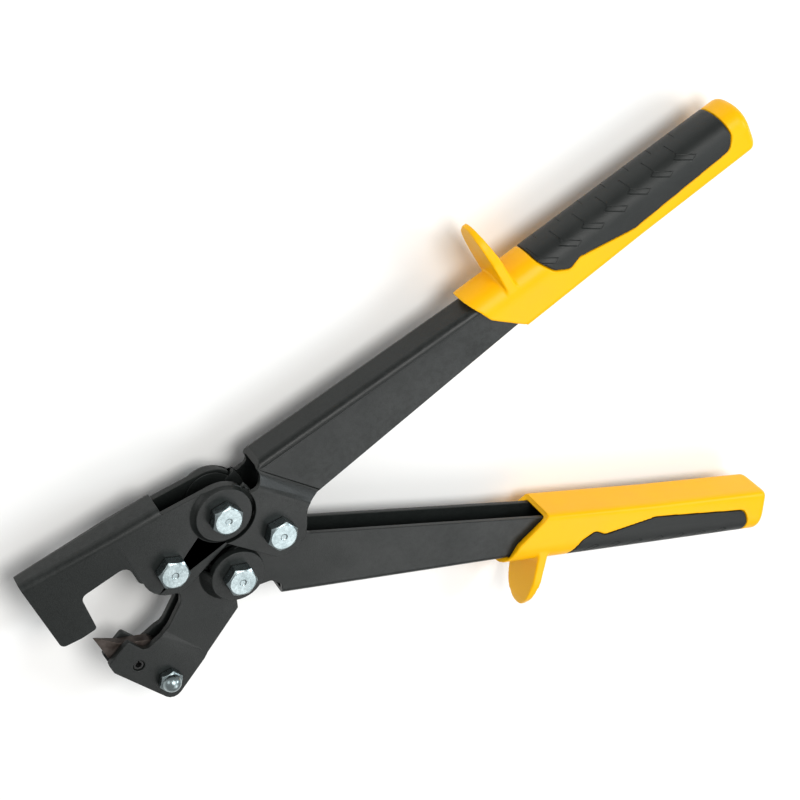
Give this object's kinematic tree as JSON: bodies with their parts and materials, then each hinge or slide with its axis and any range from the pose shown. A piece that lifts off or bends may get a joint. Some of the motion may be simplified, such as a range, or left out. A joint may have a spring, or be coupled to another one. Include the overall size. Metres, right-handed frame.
{
  "type": "two-handed profile crimper",
  "caption": "Two-handed punch-lock crimper for thin steel profiles: folded jaws, bolted four-bar linkage, channel handles with plastic grips.",
  "frame": {"origin": "centre of the tool's box in plan, at its lowest face, with the tool lying on its side on its nuts", "axes": "+X from the jaws towards the grips, +Y from the lower handle towards the upper handle, +Z across the plates along the bolt axes"},
  "size_m": [0.39, 0.2558, 0.0394],
  "materials": {
    "black_paint": "semi-gloss black paint on pressed steel",
    "zinc": "bright zinc plate",
    "tool_steel": "hardened and tempered, brown-grey",
    "dark_steel": "blackened",
    "yellow_plastic": "smooth moulded, slight gloss",
    "black_rubber": "matte soft grip"
  },
  "bodies": {
    "upper_jaw": {"upper_jaw": "black_paint", "upper_link_bolt": "zinc", "upper_link_spacer": "dark_steel", "upper_link_washer": "zinc", "upper_link_nut": "zinc", "jaw_pivot_bolt": "zinc", "jaw_pivot_spacer": "dark_steel", "jaw_pivot_washer": "zinc", "jaw_pivot_nut": "zinc"},
    "lower_jaw": {"lower_jaw_near_plate": "black_paint", "lower_jaw_far_plate": "black_paint", "punch": "tool_steel", "punch_roll_pin": "dark_steel", "punch_bolt": "zinc", "punch_cap_nut": "zinc", "lower_link_bolt": "zinc", "lower_link_spacer": "dark_steel", "lower_link_washer": "zinc", "lower_link_nut": "zinc"},
    "upper_handle": {"upper_handle": "black_paint", "upper_grip_shell": "yellow_plastic", "upper_grip_pad": "black_rubber", "handle_pivot_bolt": "zinc", "handle_pivot_spacer": "dark_steel", "handle_pivot_washer": "zinc", "handle_pivot_nut": "zinc"},
    "lower_handle": {"lower_handle": "black_paint", "lower_grip_shell": "yellow_plastic", "lower_grip_pad": "black_rubber"}
  },
  "joints": [
    {"name": "jaw_close", "type": "hinge", "parent": "upper_jaw", "child": "lower_jaw", "pos_m": [-0.12853, -0.05621, 0.0219], "axis": [0, 0, -1], "range_deg": [0, 22]},
    {"name": "upper_handle_close", "type": "hinge", "parent": "upper_jaw", "child": "upper_handle", "pos_m": [-0.10533, -0.03211, 0.0219], "axis": [0, 0, -1], "range_deg": [0, 22.53]},
    {"name": "lower_handle_close", "type": "hinge", "parent": "upper_handle", "child": "lower_handle", "pos_m": [-0.07923, -0.04561, 0.0219], "axis": [0, 0, 1], "range_deg": [0, 27.68]}
  ],
  "couplings": [
    {"joint": "upper_handle_close", "follows": "jaw_close", "ratio": 1.024},
    {"joint": "lower_handle_close", "follows": "jaw_close", "ratio": 1.258}
  ]
}
